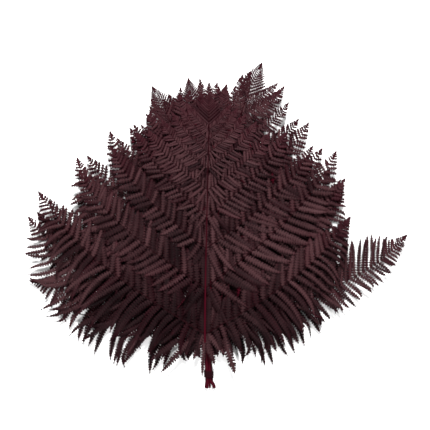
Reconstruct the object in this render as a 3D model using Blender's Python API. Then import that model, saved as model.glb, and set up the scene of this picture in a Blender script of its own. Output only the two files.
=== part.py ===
"""A flat bunch of five preserved bracken fronds laid one on another and tied at the stalks."""

import math

import bmesh
import bpy

MM = 0.001

# Stalks and main ribs
STALK_RADIUS = 1.45
RIB_END_RADIUS = 0.55
STALK_GAP = 0.3
TUBE_SIDES = 6

# How the fronds are stacked
LAYER_FIRST = 1.6
LAYER_PITCH = 4.6
ARCH_HEIGHT = 3.2
ARCH_REACH = 240.0
FLAT_STRIP = 12.0
EDGE_SQUEEZE = 0.14

# Leaf growth: every pair of side leaves is a fixed share of the pair below
PAIR_RATIO = 0.80
PAIR_COUNT = 9
LEAN_STEP = 1.6
BLADE_THICK = 0.7
LOWER_REACH = 0.23
UPPER_REACH = 0.19
LOWER_ANGLE = 69.0
UPPER_ANGLE = 60.0
TOOTH_FILL = 0.74
STEP_BETWEEN_LEAVES = 1.2
LEAFLETS = (12, 9, 6, 5, 4, 3, 2, 2, 2)
SHOULDERED = 3
RIBBED = 2
END_TEETH = 5
RIB_SHARE = 0.865
HANG_HALF = 4.2

# The stalks are drawn together below the leaves and run through the band
BUNDLE_TOP = -138.0
BUNDLE_FIRM = -170.0
BUNDLE_HEIGHT = 3.75
BUNDLE_DRIFT = 0.04
BUTT_FREE = -196.0

# The wound elastic band
BAND_FROM = -195.2
BAND_TURNS = 3
TURN_WIDTH = 3.6
BAND_GROOVE = 0.75
BAND_CREST = 1.35
BAND_CLEAR = 0.3

PITCH = 2.0 * STALK_RADIUS / math.cos(math.pi / TUBE_SIDES) + STALK_GAP

# Each frond: where it stands in the stack, foot of the leafy part, tip, heading of the tip in
# degrees to the left, lowest leaf angle, leaf reach, seat in the bundle (across, up), free end,
# and the leaf tips that reach past the plain growth rule. "turns" bends one leaf's rib (leaving
# and arriving angle), "lower_share" shortens one leaf's lower leaflets, and "hanging" gives the
# tips of single leaflets that hang down beside the stalks.
FRONDS = (
    {
        "name": "frond_1", "layer": 0, "foot": (4.2, -137.0), "tip": (25.0, 218.0), "heading": -14.0,
        "angle": 56.0, "reach": 0.84, "bow": -8.75, "seat": (1.0, 0.0), "end": (7.0, -205.8),
        "tips": {"L1": (-241.0, 40.0), "R1": (206.0, -31.0), "L2": (-185.0, 64.0),
                 "R2": (191.0, 84.0), "L3": (-126.0, 126.0)},
    },
    {
        "name": "frond_2", "layer": 1, "foot": (-6.3, -137.0), "tip": (-28.0, 228.0), "heading": 14.0,
        "angle": 56.0, "reach": 0.84, "bow": 0.0, "seat": (-1.0, 0.0), "end": (-3.4, -207.2),
        "tips": {"L1": (-252.0, -57.0), "R1": (199.0, 33.0), "L2": (-235.0, 32.0),
                 "L3": (-176.0, 96.0), "R8": (-5.0, 220.0), "R9": (-15.0, 225.0)},
        "turns": {"L1": (5.0, 4.0)},
    },
    {
        "name": "frond_3", "layer": 2, "foot": (-1.0, -134.0), "tip": (-79.0, 216.0), "heading": 33.0,
        "angle": 55.0, "reach": 0.84, "bow": 0.0, "seat": (0.0, 0.0), "end": (2.0, -206.4),
        "tips": {"L1": (-252.7, 33.6), "L2": (-222.0, 50.0), "L3": (-169.5, 119.0),
                 "L4": (-136.0, 130.0), "L5": (-110.0, 158.0), "L6": (-94.0, 162.0),
                 "L7": (-86.0, 176.0), "L8": (-82.0, 188.0), "L9": (-80.0, 198.0),
                 "R1": (190.0, 78.0)},
    },
    {
        "name": "frond_4", "layer": 3, "foot": (1.4, -133.0), "tip": (76.0, 249.0), "heading": -27.0,
        "angle": 55.0, "reach": 0.82, "bow": 0.0, "seat": (0.5, 1.0), "end": (4.9, -205.9),
        "tips": {"L1": (-183.0, 116.0), "L2": (-137.0, 153.0), "L3": (-81.0, 181.0),
                 "L4": (-40.0, 206.0), "L5": (13.3, 220.8), "L6": (26.6, 218.4),
                 "L7": (38.6, 215.6), "L8": (49.0, 232.0), "R1": (279.0, 8.0),
                 "R2": (192.0, 87.0), "R3": (160.0, 129.0), "R4": (141.0, 165.0),
                 "R5": (127.0, 170.0), "R6": (113.0, 193.0), "R7": (107.0, 216.0)},
        "lower_share": {"R1": 0.6},
    },
    {
        "name": "frond_5", "layer": 4, "foot": (-4.2, -131.0), "tip": (1.4, 207.0), "heading": 0.0,
        "angle": 55.0, "reach": 0.86, "bow": 0.0, "seat": (-0.5, 1.0), "end": (-1.0, -206.8),
        "tips": {"L1": (-237.0, 69.0), "R1": (199.0, 33.0), "L2": (-180.0, 98.0),
                 "R2": (179.0, 125.0), "L3": (-134.0, 130.0), "R3": (146.0, 132.0),
                 "L4": (-98.0, 150.0), "R4": (110.0, 152.0)},
        "hanging": ((-8.0, -190.0), (12.0, -175.0), (38.0, -187.0), (-66.0, -185.0)),
    },
)

COLOURS = {
    "frond_1": (0.060, 0.020, 0.024),
    "frond_2": (0.052, 0.018, 0.022),
    "frond_3": (0.064, 0.022, 0.026),
    "frond_4": (0.058, 0.020, 0.024),
    "frond_5": (0.062, 0.023, 0.027),
    "tie": (0.050, 0.006, 0.012),
}


def smooth(value):
    """Ease a number between 0 and 1."""
    value = min(1.0, max(0.0, value))
    return value * value * (3.0 - 2.0 * value)


def curve(p0, p1, p2, p3, t):
    """Point on a cubic curve in the plane."""
    s = 1.0 - t
    a, b, c, d = s * s * s, 3 * s * s * t, 3 * s * t * t, t * t * t
    return (
        a * p0[0] + b * p1[0] + c * p2[0] + d * p3[0],
        a * p0[1] + b * p1[1] + c * p2[1] + d * p3[1],
    )


def polar(heading):
    """Unit direction for an angle measured to the left of straight up, in degrees."""
    return -math.sin(math.radians(heading)), math.cos(math.radians(heading))


def heading_of(start, end):
    """Angle to the left of straight up, in degrees, of the line between two points."""
    return math.degrees(math.atan2(-(end[0] - start[0]), end[1] - start[1]))


def stack_height(x, y, level):
    """Height of a point of the stack: all the layers share one gentle arch, so none cross."""
    across = max(0.0, abs(x) - FLAT_STRIP) / ARCH_REACH
    arch = math.sin(math.pi * min(1.0, across)) ** 2 * (0.8 + 0.2 * math.sin(y / 47.0))
    out = smooth((math.hypot(x, y) - 110.0) / 150.0)
    return ARCH_HEIGHT * arch + level * (1.0 - EDGE_SQUEEZE * out)


def seat_centre(y):
    """Sideways centre of the tied stalks at a place along them."""
    return 0.3 + BUNDLE_DRIFT * max(0.0, BUNDLE_FIRM - y)


def rib_curve(frond):
    """The four points of a frond's main rib above its foot."""
    foot, tip = frond["foot"], frond["tip"]
    length = math.dist(foot, tip)
    up = polar(frond["heading"])
    first = (foot[0] + frond["bow"], foot[1] + 0.3 * length)
    last = (tip[0] - 0.3 * length * up[0], tip[1] - 0.3 * length * up[1])
    return foot, first, last, tip


def tube(name, path, radii):
    """A closed rib with a flat underside along a path, given with heights."""
    mesh = bmesh.new()
    rings = []
    for index, point in enumerate(path):
        before, after = path[max(0, index - 1)], path[min(len(path) - 1, index + 1)]
        along = heading_of(before, after)
        side = polar(along - 90.0)
        ring = []
        for step in range(TUBE_SIDES):
            angle = math.radians(-120.0 + 360.0 * step / TUBE_SIDES)
            reach = radii[index] / math.cos(math.pi / TUBE_SIDES)
            wide, high = reach * math.cos(angle), reach * math.sin(angle)
            ring.append(mesh.verts.new((
                (point[0] + side[0] * wide) * MM,
                (point[1] + side[1] * wide) * MM,
                (point[2] + high) * MM,
            )))
        rings.append(ring)
    for low, high in zip(rings, rings[1:]):
        for step in range(TUBE_SIDES):
            after = (step + 1) % TUBE_SIDES
            mesh.faces.new((low[step], low[after], high[after], high[step]))
    mesh.faces.new(rings[0])
    mesh.faces.new(rings[-1])
    return finish_mesh(name, mesh)


def finish_mesh(name, mesh):
    """Turn a closed bmesh into an object with outward faces, all triangles."""
    bmesh.ops.triangulate(mesh, faces=mesh.faces[:])
    bmesh.ops.recalc_face_normals(mesh, faces=mesh.faces[:])
    data = bpy.data.meshes.new(name)
    mesh.to_mesh(data)
    mesh.free()
    return bpy.data.objects.new(name, data)


def thick_sheet(name, points, triangles):
    """A closed thin plate: each point has place, level in the stack and own thickness."""
    mesh = bmesh.new()
    top, bottom = [], []
    for x, y, level, thick in points:
        z = stack_height(x, y, level)
        top.append(mesh.verts.new((x * MM, y * MM, (z + thick / 2.0) * MM)))
        bottom.append(mesh.verts.new((x * MM, y * MM, (z - thick / 2.0) * MM)))
    used = {}
    for a, b, c in triangles:
        mesh.faces.new((top[a], top[b], top[c]))
        mesh.faces.new((bottom[c], bottom[b], bottom[a]))
        for edge in ((a, b), (b, c), (c, a)):
            key = (min(edge), max(edge))
            used[key] = used.get(key, 0) + 1
    for (a, b), count in used.items():
        if count == 1:
            mesh.faces.new((top[a], top[b], bottom[b], bottom[a]))
    return finish_mesh(name, mesh)


def leaf(name, points, level, tilt, pair, start, lower_share):
    """One side leaf: a thin plate cut to its rib into leaflets on both sides.

    The four curve points give the rib; the side towards the frond's foot stands a little
    higher than the side towards its tip, so neighbours lie over each other like tiles."""
    length = math.dist(points[0], points[3])
    left = points[3][0] < points[0][0]
    count = LEAFLETS[pair]
    growth = 0.88
    total = 1.0 - growth ** count
    marks = [start + (0.975 - start) * (1.0 - growth ** j) / total for j in range(count + 1)]
    rib_half = max(0.45, 0.0042 * length)
    rib_thick = BLADE_THICK + max(0.1, 0.0028 * length)
    verts, faces = [], []

    def add(x, y, offset, thick):
        verts.append((x, y, level + offset, thick))
        return len(verts) - 1

    def frame_at(u):
        here = curve(*points, u)
        ahead = curve(*points, min(1.0, u + 0.01))
        behind = curve(*points, max(0.0, u - 0.01))
        return here, heading_of(behind, ahead)

    root = [(0.3 + 0.6 * rib_half) / length] + marks
    middle, edges = [], {1: [], -1: []}
    for u in root:
        here, heading = frame_at(u)
        narrow = 1.0 - 0.6 * u
        if pair < RIBBED:
            thick = BLADE_THICK + (rib_thick - BLADE_THICK) * narrow
            middle.append(add(here[0], here[1], 0.0, thick))
        for side in (1, -1):
            out = polar(heading + 90.0 * side)
            edges[side].append(add(
                here[0] + out[0] * rib_half * narrow, here[1] + out[1] * rib_half * narrow,
                0.0, BLADE_THICK,
            ))
    end = add(points[3][0], points[3][1], 0.0, BLADE_THICK)
    if pair >= RIBBED:
        for j in range(len(root) - 1):
            faces.append((edges[-1][j], edges[-1][j + 1], edges[1][j + 1]))
            faces.append((edges[-1][j], edges[1][j + 1], edges[1][j]))
        faces.append((edges[-1][-1], end, edges[1][-1]))
    for side in (1, -1):
        row = edges[side]
        if pair < RIBBED:
            for j in range(len(root) - 1):
                faces.append((middle[j], middle[j + 1], row[j + 1]))
                faces.append((middle[j], row[j + 1], row[j]))
            faces.append((middle[-1], end, row[-1]))
        lower = side == (1 if left else -1)
        reach = (LOWER_REACH * lower_share if lower else UPPER_REACH) * length
        angle = LOWER_ANGLE if lower else UPPER_ANGLE
        lift = tilt if lower else -tilt
        for j in range(1, len(root) - 1):
            u = (root[j] + root[j + 1]) / 2.0
            here, heading = frame_at(u)
            gap = (root[j + 1] - root[j]) * length
            long = reach * math.tanh(0.5 * (1.0 - u) * length / reach)
            if j == 1 and not lower:
                long *= 0.6
            out = polar(heading + angle * side)
            wide = polar(heading + (angle - 90.0) * side)
            half = TOOTH_FILL / 2.0 * gap * math.sin(math.radians(angle))
            tip_at = (here[0] + out[0] * long, here[1] + out[1] * long)
            bend = 0.05 * long
            tip_at = (tip_at[0] + wide[0] * bend, tip_at[1] + wide[1] * bend)
            flat = math.sin(math.radians(angle))
            tip = add(tip_at[0], tip_at[1], lift * long * flat, BLADE_THICK)
            if pair < SHOULDERED and long > gap:
                near = (here[0] + out[0] * long * 0.45, here[1] + out[1] * long * 0.45)
                first = add(near[0] - wide[0] * half, near[1] - wide[1] * half,
                            lift * long * 0.45 * flat, BLADE_THICK)
                second = add(near[0] + wide[0] * half, near[1] + wide[1] * half,
                             lift * long * 0.45 * flat, BLADE_THICK)
                faces.append((row[j], first, second))
                faces.append((row[j], second, row[j + 1]))
                faces.append((first, tip, second))
            else:
                faces.append((row[j], tip, row[j + 1]))
    return thick_sheet(name, verts, faces)


def main_rib(frond):
    """Stalk and main rib of one frond in one piece, from the free end to near the tip."""
    level = LAYER_FIRST + LAYER_PITCH * frond["layer"]
    foot = frond["foot"]
    seat = frond["seat"]
    seat_across = seat[0] * PITCH
    seat_up = BUNDLE_HEIGHT + seat[1] * PITCH * math.sin(math.radians(60.0))
    path, radii = [], []
    for y in (frond["end"][1], BUTT_FREE, -183.0, -169.0, -162.0, -154.0, -146.0):
        free = smooth((BUTT_FREE - y) / 11.0)
        seated = seat_centre(y) + seat_across
        firm = smooth((BUNDLE_TOP - y) / (BUNDLE_TOP - BUNDLE_FIRM))
        x = foot[0] + (seated - foot[0]) * firm
        x += (frond["end"][0] - x) * free
        high = stack_height(x, y, level)
        path.append((x, y, high + (seat_up - high) * firm))
        radii.append(STALK_RADIUS)
    for step in range(11):
        t = RIB_SHARE * (step / 10.0)
        x, y = curve(*rib_curve(frond), t)
        path.append((x, y, stack_height(x, y, level)))
        radii.append(STALK_RADIUS + (RIB_END_RADIUS - STALK_RADIUS) * t / RIB_SHARE)
    if frond["layer"] == 0:
        path = [(x, y, r if -125.0 < y < 75.0 else z) for (x, y, z), r in zip(path, radii)]
    return tube(frond["name"], path, radii)


def side_leaves(frond):
    """All the side leaves of one frond, lowest pair first, and its pointed end."""
    ribs = rib_curve(frond)
    length = math.dist(frond["foot"], frond["tip"])
    level = LAYER_FIRST + LAYER_PITCH * frond["layer"]
    blades = []
    for pair in range(PAIR_COUNT):
        t = 1.0 - PAIR_RATIO ** pair
        base = curve(*ribs, t)
        heading = heading_of(curve(*ribs, t - 0.01), curve(*ribs, t + 0.01))
        size = frond["reach"] * length * PAIR_RATIO ** pair
        lean = frond["angle"] - LEAN_STEP * pair - (3.0 if pair else 0.0)
        tilt = min(0.15, STEP_BETWEEN_LEAVES / (0.153 * length * PAIR_RATIO ** pair))
        for side, letter in ((1, "L"), (-1, "R")):
            out = polar(heading + side * lean)
            tip = (base[0] + out[0] * size, base[1] + out[1] * size)
            tip = frond["tips"].get(letter + str(pair + 1), tip)
            far = math.dist(base, tip)
            chord = heading_of(base, tip)
            turns = frond.get("turns", {}).get(letter + str(pair + 1), (9.0, -22.0))
            leaving = polar(chord + side * turns[0])
            arriving = polar(chord + side * turns[1])
            first = (base[0] + leaving[0] * far * 0.35, base[1] + leaving[1] * far * 0.35)
            last = (tip[0] - arriving[0] * far * 0.3, tip[1] - arriving[1] * far * 0.3)
            start = max(0.05, 3.2 / far)
            if pair == 0:
                start = 13.0 / far
            blades.append(leaf(
                frond["name"] + letter + str(pair), (base, first, last, tip), level, tilt,
                pair, start, frond.get("lower_share", {}).get(letter + str(pair + 1), 1.0),
            ))
    base = curve(*ribs, RIB_SHARE - 0.008)
    tip = frond["tip"]
    points = tuple(
        (base[0] + (tip[0] - base[0]) * s, base[1] + (tip[1] - base[1]) * s)
        for s in (0.0, 0.33, 0.66, 1.0)
    )
    blades.append(end_leaf(frond["name"] + "_end", points, level))
    for number, hang_tip in enumerate(frond.get("hanging", ())):
        blades.append(hanging_leaflet(
            frond["name"] + "_hang" + str(number), frond["foot"], hang_tip, level,
        ))
    return blades


def hanging_leaflet(name, foot, tip, level):
    """A single long leaflet that hangs from the foot of the leafy part."""
    far = math.dist(foot, tip)
    down = heading_of(foot, tip)
    verts = [(foot[0], foot[1] + 1.0, level, BLADE_THICK)]
    for share, half in ((0.25, HANG_HALF), (0.6, 0.8 * HANG_HALF)):
        here = (foot[0] + (tip[0] - foot[0]) * share, foot[1] + (tip[1] - foot[1]) * share)
        for side in (1, -1):
            out = polar(down + 90.0 * side)
            verts.append((here[0] + out[0] * half, here[1] + out[1] * half, level, BLADE_THICK))
    verts.append((tip[0], tip[1], level, BLADE_THICK))
    faces = [(0, 1, 2), (1, 3, 4), (1, 4, 2), (3, 5, 4)]
    return thick_sheet(name, verts, faces)


def end_leaf(name, points, level):
    """The pointed end of a frond, a small blade toothed on both sides."""
    length = math.dist(points[0], points[3])
    heading = heading_of(points[0], points[3])
    verts, faces = [], []
    rows = {1: [], -1: []}
    for side in (1, -1):
        beside = polar(heading + 90.0 * side)
        for j in range(END_TEETH + 1):
            here = curve(*points, 0.9 * j / END_TEETH)
            narrow = 0.5 * (1.0 - 0.6 * j / END_TEETH)
            verts.append((here[0] + beside[0] * narrow, here[1] + beside[1] * narrow,
                          level, BLADE_THICK))
            rows[side].append(len(verts) - 1)
    for j in range(END_TEETH):
        faces.append((rows[-1][j], rows[-1][j + 1], rows[1][j + 1]))
        faces.append((rows[-1][j], rows[1][j + 1], rows[1][j]))
    verts.append((points[3][0], points[3][1], level, BLADE_THICK))
    faces.append((rows[-1][-1], len(verts) - 1, rows[1][-1]))
    for side in (1, -1):
        out = polar(heading + 46.0 * side)
        for j in range(END_TEETH):
            u = 0.9 * (j + 0.5) / END_TEETH
            here = curve(*points, u)
            long = 0.62 * length * (1.0 - u)
            verts.append((here[0] + out[0] * long, here[1] + out[1] * long, level, BLADE_THICK))
            faces.append((rows[side][j], rows[side][j + 1], len(verts) - 1))
    return thick_sheet(name, verts, faces)


def join_all(body, others):
    """Grow the leaves onto the rib: one union of the rib with all its blades."""
    group = bpy.data.collections.new(body.name + "_leaves")
    bpy.context.scene.collection.children.link(group)
    for other in others:
        group.objects.link(other)
    bpy.context.scene.collection.objects.link(body)
    union = body.modifiers.new("union", "BOOLEAN")
    union.operation = "UNION"
    union.operand_type = "COLLECTION"
    union.collection = group
    union.solver = "EXACT"
    bpy.context.view_layer.update()
    shape = body.evaluated_get(bpy.context.evaluated_depsgraph_get())
    joined = bpy.data.meshes.new_from_object(shape)
    body.modifiers.clear()
    body.data = joined
    for other in others:
        bpy.data.objects.remove(other)
    bpy.data.collections.remove(group)
    mesh = bmesh.new()
    mesh.from_mesh(body.data)
    bmesh.ops.remove_doubles(mesh, verts=mesh.verts[:], dist=0.00001)
    bmesh.ops.triangulate(mesh, faces=mesh.faces[:])
    bmesh.ops.recalc_face_normals(mesh, faces=mesh.faces[:])
    mesh.to_mesh(body.data)
    mesh.free()
    return body


def wound_band():
    """The band round the stalks: one closed ring with a groove between its turns."""
    rise = PITCH * math.sin(math.radians(60.0))
    corners = (
        (PITCH, 0.0, -90.0, 30.0),
        (0.5 * PITCH, rise, 30.0, 90.0),
        (-0.5 * PITCH, rise, 90.0, 150.0),
        (-PITCH, 0.0, 150.0, 270.0),
    )
    directions = []
    for across, up, begin, finish in corners:
        steps = 5 if finish - begin > 90.0 else 3
        for step in range(steps):
            angle = math.radians(begin + (finish - begin) * step / (steps - 1))
            directions.append((across, BUNDLE_HEIGHT + up, math.cos(angle), math.sin(angle)))
    stations = [(BAND_FROM, BAND_GROOVE)]
    for turn in range(BAND_TURNS):
        start = BAND_FROM + turn * TURN_WIDTH
        stations.append((start + 0.32 * TURN_WIDTH, BAND_CREST))
        stations.append((start + 0.68 * TURN_WIDTH, BAND_CREST))
        stations.append((start + TURN_WIDTH, BAND_GROOVE))
    mesh = bmesh.new()

    def ring(y, reach):
        """One closed loop of the band at a place along the stalks."""
        return [
            mesh.verts.new((
                (seat_centre(y) + across + reach * c) * MM, y * MM, (up + reach * s) * MM,
            ))
            for across, up, c, s in directions
        ]

    inner = STALK_RADIUS / math.cos(math.pi / TUBE_SIDES) + BAND_CLEAR
    loops = [ring(stations[0][0], inner)]
    loops += [ring(y, inner + thick) for y, thick in stations]
    loops.append(ring(stations[-1][0], inner))
    loops.append(loops[0])
    size = len(directions)
    for low, high in zip(loops, loops[1:]):
        for step in range(size):
            after = (step + 1) % size
            mesh.faces.new((low[step], low[after], high[after], high[step]))
    body = finish_mesh("tie", mesh)
    bpy.context.scene.collection.objects.link(body)
    return body


def paint(body, roughness):
    """Give a piece a material of its own."""
    colour = COLOURS[body.name]
    material = bpy.data.materials.new(body.name + "_finish")
    material.use_nodes = True
    shader = material.node_tree.nodes["Principled BSDF"]
    shader.inputs["Base Color"].default_value = (colour[0], colour[1], colour[2], 1.0)
    shader.inputs["Roughness"].default_value = roughness
    material.diffuse_color = (colour[0], colour[1], colour[2], 1.0)
    body.data.materials.clear()
    body.data.materials.append(material)


def main():
    """Build the bunch from the lowest frond up, then the band."""
    for thing in list(bpy.data.objects):
        bpy.data.objects.remove(thing)
    for frond in FRONDS:
        body = join_all(main_rib(frond), side_leaves(frond))
        paint(body, 0.6)
    paint(wound_band(), 0.8)


main()
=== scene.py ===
"""Visual model of a flat, tied bunch of five preserved bracken fronds.

Every frond follows one growth rule. A main rib carries pairs of side leaves, each pair a fixed
share of the pair below; a side leaf carries leaflets on both edges, and a leaflet is cut into
small rounded segments. The fronds lie one on another and an elastic band holds the stalks.
"""

import logging
import math
from dataclasses import dataclass, field
from enum import Enum

import bpy
import numpy as np
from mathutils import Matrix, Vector


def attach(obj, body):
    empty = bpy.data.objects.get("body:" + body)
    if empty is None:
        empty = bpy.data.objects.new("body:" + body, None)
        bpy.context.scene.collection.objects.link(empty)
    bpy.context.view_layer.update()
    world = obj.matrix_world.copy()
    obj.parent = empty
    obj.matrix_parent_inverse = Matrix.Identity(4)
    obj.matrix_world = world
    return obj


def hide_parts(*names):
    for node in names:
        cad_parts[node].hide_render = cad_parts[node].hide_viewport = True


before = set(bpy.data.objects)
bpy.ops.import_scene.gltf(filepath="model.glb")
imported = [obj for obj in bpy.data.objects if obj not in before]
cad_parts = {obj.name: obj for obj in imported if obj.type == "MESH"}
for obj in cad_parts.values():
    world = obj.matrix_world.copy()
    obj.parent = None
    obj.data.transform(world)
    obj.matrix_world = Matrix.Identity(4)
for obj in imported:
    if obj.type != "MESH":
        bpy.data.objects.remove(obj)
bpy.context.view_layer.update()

MM = 0.001
BODY = "root"

log = logging.getLogger("bracken")


class Edge(Enum):
    """The two edges of a side leaf: the one towards the frond's foot and the one to its tip."""

    LOWER = "lower"
    UPPER = "upper"


class Side(Enum):
    """The side of the main rib that a leaf grows on."""

    LEFT = 1
    RIGHT = -1


def smooth(value: np.ndarray | float) -> np.ndarray | float:
    """Ease numbers between 0 and 1.

    Args:
        value: Number or array, clipped to the range 0 to 1.

    Returns:
        The eased number or array.
    """
    value = np.clip(value, 0.0, 1.0)
    return value * value * (3.0 - 2.0 * value)


def polar(heading: float) -> np.ndarray:
    """Give the unit direction of a heading.

    Args:
        heading: Angle to the left of straight up the sheet, in degrees.

    Returns:
        Direction across and up the sheet.
    """
    return np.array((-math.sin(math.radians(heading)), math.cos(math.radians(heading))))


def heading_of(start: np.ndarray, end: np.ndarray) -> float:
    """Give the heading of the line between two places.

    Args:
        start: Where the line starts, across and up the sheet.
        end: Where the line ends.

    Returns:
        Angle to the left of straight up the sheet, in degrees.
    """
    return math.degrees(math.atan2(-(end[0] - start[0]), end[1] - start[1]))


def linear(hex_colour: str) -> tuple[float, float, float, float]:
    """Turn an sRGB hex colour to the linear colour that a shader takes.

    Args:
        hex_colour: Six hex digits after a hash.

    Returns:
        Linear red, green and blue, and full opacity.
    """
    parts = [int(hex_colour[i:i + 2], 16) / 255.0 for i in (1, 3, 5)]
    red, green, blue = (
        p / 12.92 if p <= 0.04045 else ((p + 0.055) / 1.055) ** 2.4 for p in parts
    )
    return red, green, blue, 1.0


def add_node(
    material: bpy.types.Material, kind: str, settings: dict | None = None,
    links: dict | None = None,
) -> bpy.types.Node:
    """Add a node to a material with its settings and links.

    Args:
        material: Material whose node tree is extended.
        kind: Blender's type name of the node.
        settings: Attribute names, or input names after "in:", with their values; "stops" gives
            the place and linear colour of each stop of a colour ramp, lowest first.
        links: Input names or numbers with the output sockets that feed them.

    Returns:
        The new node.
    """
    node = material.node_tree.nodes.new(kind)
    for name, value in (settings or {}).items():
        if name.startswith("in:"):
            node.inputs[name[3:]].default_value = value
        elif name == "stops":
            elements = node.color_ramp.elements
            while len(elements) < len(value):
                elements.new(0.5)
            for element, (place, colour) in zip(elements, value):
                element.position = place
                element.color = colour
        else:
            setattr(node, name, value)
    for name, socket in (links or {}).items():
        material.node_tree.links.new(socket, node.inputs[name])
    return node


@dataclass(frozen=True)
class Finish:
    """What the bunch's finishes share: a name, a gloss and a surface relief.

    Dyed, dull and dry, they mirror next to nothing, so the eye sees their colour alone, and
    the specular level is far below the usual 0.5. Sizes ending in mm are millimetres."""

    name: str
    roughness: float = 0.5
    ior: float = 1.45
    specular: float = 0.03
    relief: float = 0.25
    relief_mm: float = 0.2

    def start(self) -> bpy.types.Material:
        """Make an empty material.

        Returns:
            The material, which has its Principled shader.
        """
        material = bpy.data.materials.new(self.name)
        material.use_nodes = True
        return material

    def toned(
        self, material: bpy.types.Material, pattern: bpy.types.NodeSocket,
        span: tuple[float, float], stops: tuple[tuple[float, str], ...],
    ) -> bpy.types.NodeSocket:
        """Colour each place by the mesh's own tone and a pattern added to it.

        Args:
            material: The material so far.
            pattern: The pattern, 0 to 1.
            span: Sums that give the first and the last colour.
            stops: Place and sRGB hex colour of each stop between them.

        Returns:
            The colour.
        """
        tone = add_node(material, "ShaderNodeAttribute", {"attribute_name": "tone"})
        total = add_node(
            material, "ShaderNodeMath", {"operation": "ADD"},
            {0: tone.outputs["Fac"], 1: pattern},
        )
        share = add_node(
            material, "ShaderNodeMapRange", {"in:From Min": span[0], "in:From Max": span[1]},
            {"Value": total.outputs["Value"]},
        )
        ramp = add_node(
            material, "ShaderNodeValToRGB",
            {"stops": tuple((place, linear(colour)) for place, colour in stops)},
            {"Fac": share.outputs["Result"]},
        )
        return ramp.outputs["Color"]

    def dress(
        self, material: bpy.types.Material, colour: bpy.types.NodeSocket,
        height: bpy.types.NodeSocket,
    ) -> bpy.types.Material:
        """Lead a colour and a relief to the material's shader and set its gloss.

        Args:
            material: The material so far.
            colour: Its colour.
            height: Its relief, 0 to 1.

        Returns:
            The finished material.
        """
        bump = add_node(
            material, "ShaderNodeBump",
            {"in:Strength": self.relief, "in:Distance": self.relief_mm * MM},
            {"Height": height},
        )
        inputs = material.node_tree.nodes["Principled BSDF"].inputs
        material.node_tree.links.new(colour, inputs["Base Color"])
        material.node_tree.links.new(bump.outputs["Normal"], inputs["Normal"])
        inputs["Roughness"].default_value = self.roughness
        inputs["IOR"].default_value = self.ior
        inputs["Specular IOR Level"].default_value = self.specular
        return material


@dataclass(frozen=True)
class PreservedBlade(Finish):
    """Bracken leaf kept supple with glycerine and dyed.

    The eye gets a dull, waxy surface. Its colour is painted almost black in the folds and cuts,
    as painted shade, and brown with a touch of mauve on the crowns, as painted light; the lower
    fronds are painted darker near the middle, as painted shade from the fronds above. The dye
    takes unevenly, so whole leaflets differ in tone, and it stays redder where the blade is thin,
    at the tips and margins, and on the underside."""

    dark: str = "#090405"
    brown: str = "#1f1113"
    mauve: str = "#362224"
    wine: str = "#25050d"
    crimson: str = "#300610"
    # The dye's patches are as wide as a leaf, and its mottle as wide as one real segment.
    patch_mm: float = 46.0
    mottle_mm: float = 2.2
    # The leaf's own grain is about 0.1 mm, too fine to show, so it is drawn coarser.
    grain_mm: float = 0.45

    def build(self) -> bpy.types.Material:
        """Make the blade material.

        Returns:
            The material.
        """
        material = self.start()
        place = add_node(material, "ShaderNodeTexCoord").outputs["Object"]
        patch, mottle, grain = (
            add_node(
                material, "ShaderNodeTexNoise",
                {"in:Scale": 1.0 / (size * MM), "in:Detail": detail}, {"Vector": place},
            ).outputs["Fac"]
            for size, detail in ((self.patch_mm, 2.0), (self.mottle_mm, 3.0), (self.grain_mm, 2.0))
        )
        stops = ((0.0, self.dark), (0.45, self.brown), (1.0, self.mauve))
        colour = self.toned(material, patch, (0.55, 1.45), stops)
        speck = add_node(
            material, "ShaderNodeMapRange",
            {"in:From Min": 0.3, "in:From Max": 0.7, "in:To Min": 0.75, "in:To Max": 1.2},
            {"Value": mottle},
        )
        mottled = add_node(
            material, "ShaderNodeVectorMath", {"operation": "SCALE"},
            {"Vector": colour, "Scale": speck.outputs["Result"]},
        )
        colour = self.blend(material, "thin", mottled.outputs["Vector"], self.wine)
        colour = self.blend(material, "under", colour, self.crimson)
        return self.dress(material, colour, grain)

    def blend(
        self, material: bpy.types.Material, share: str, colour: bpy.types.NodeSocket, other: str
    ) -> bpy.types.NodeSocket:
        """Blend a colour towards another where the mesh says so.

        Args:
            material: The blade material.
            share: Mesh attribute that gives how far.
            colour: The colour so far.
            other: The colour to blend towards.

        Returns:
            The blended colour.
        """
        amount = add_node(material, "ShaderNodeAttribute", {"attribute_name": share})
        mix = add_node(
            material, "ShaderNodeMix", {"data_type": "RGBA"},
            {"Factor": amount.outputs["Fac"], 6: colour},
        )
        mix.inputs[7].default_value = linear(other)
        return mix.outputs[2]


@dataclass(frozen=True)
class DyedRind(Finish):
    """Bracken stalk and rib: a smooth, hard rind over fibres, dyed.

    The eye gets a deep wine red, brightest on the stalks, in fine streaks along them."""

    roughness: float = 0.55
    ior: float = 1.47
    relief: float = 0.5
    deep: str = "#070102"
    bright: str = "#30030d"
    # A fibre is about 0.1 mm wide and 5 cm long. Its width is too fine to show, so it is
    # drawn coarser.
    fibre_mm: float = 0.7
    streak_mm: float = 52.0

    def build(self) -> bpy.types.Material:
        """Make the rind material.

        Returns:
            The material.
        """
        material = self.start()
        place = add_node(material, "ShaderNodeTexCoord").outputs["Object"]
        across, lengthwise = 1.0 / (self.fibre_mm * MM), 1.0 / (self.streak_mm * MM)
        stretched = add_node(
            material, "ShaderNodeMapping", {"in:Scale": (across, lengthwise, across)},
            {"Vector": place},
        )
        fibre = add_node(
            material, "ShaderNodeTexNoise",
            {"in:Scale": 1.0, "in:Detail": 3.0, "in:Roughness": 0.6},
            {"Vector": stretched.outputs["Vector"]},
        ).outputs["Fac"]
        colour = self.toned(
            material, fibre, (0.45, 1.55), ((0.0, self.deep), (1.0, self.bright)),
        )
        return self.dress(material, colour, fibre)


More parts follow.
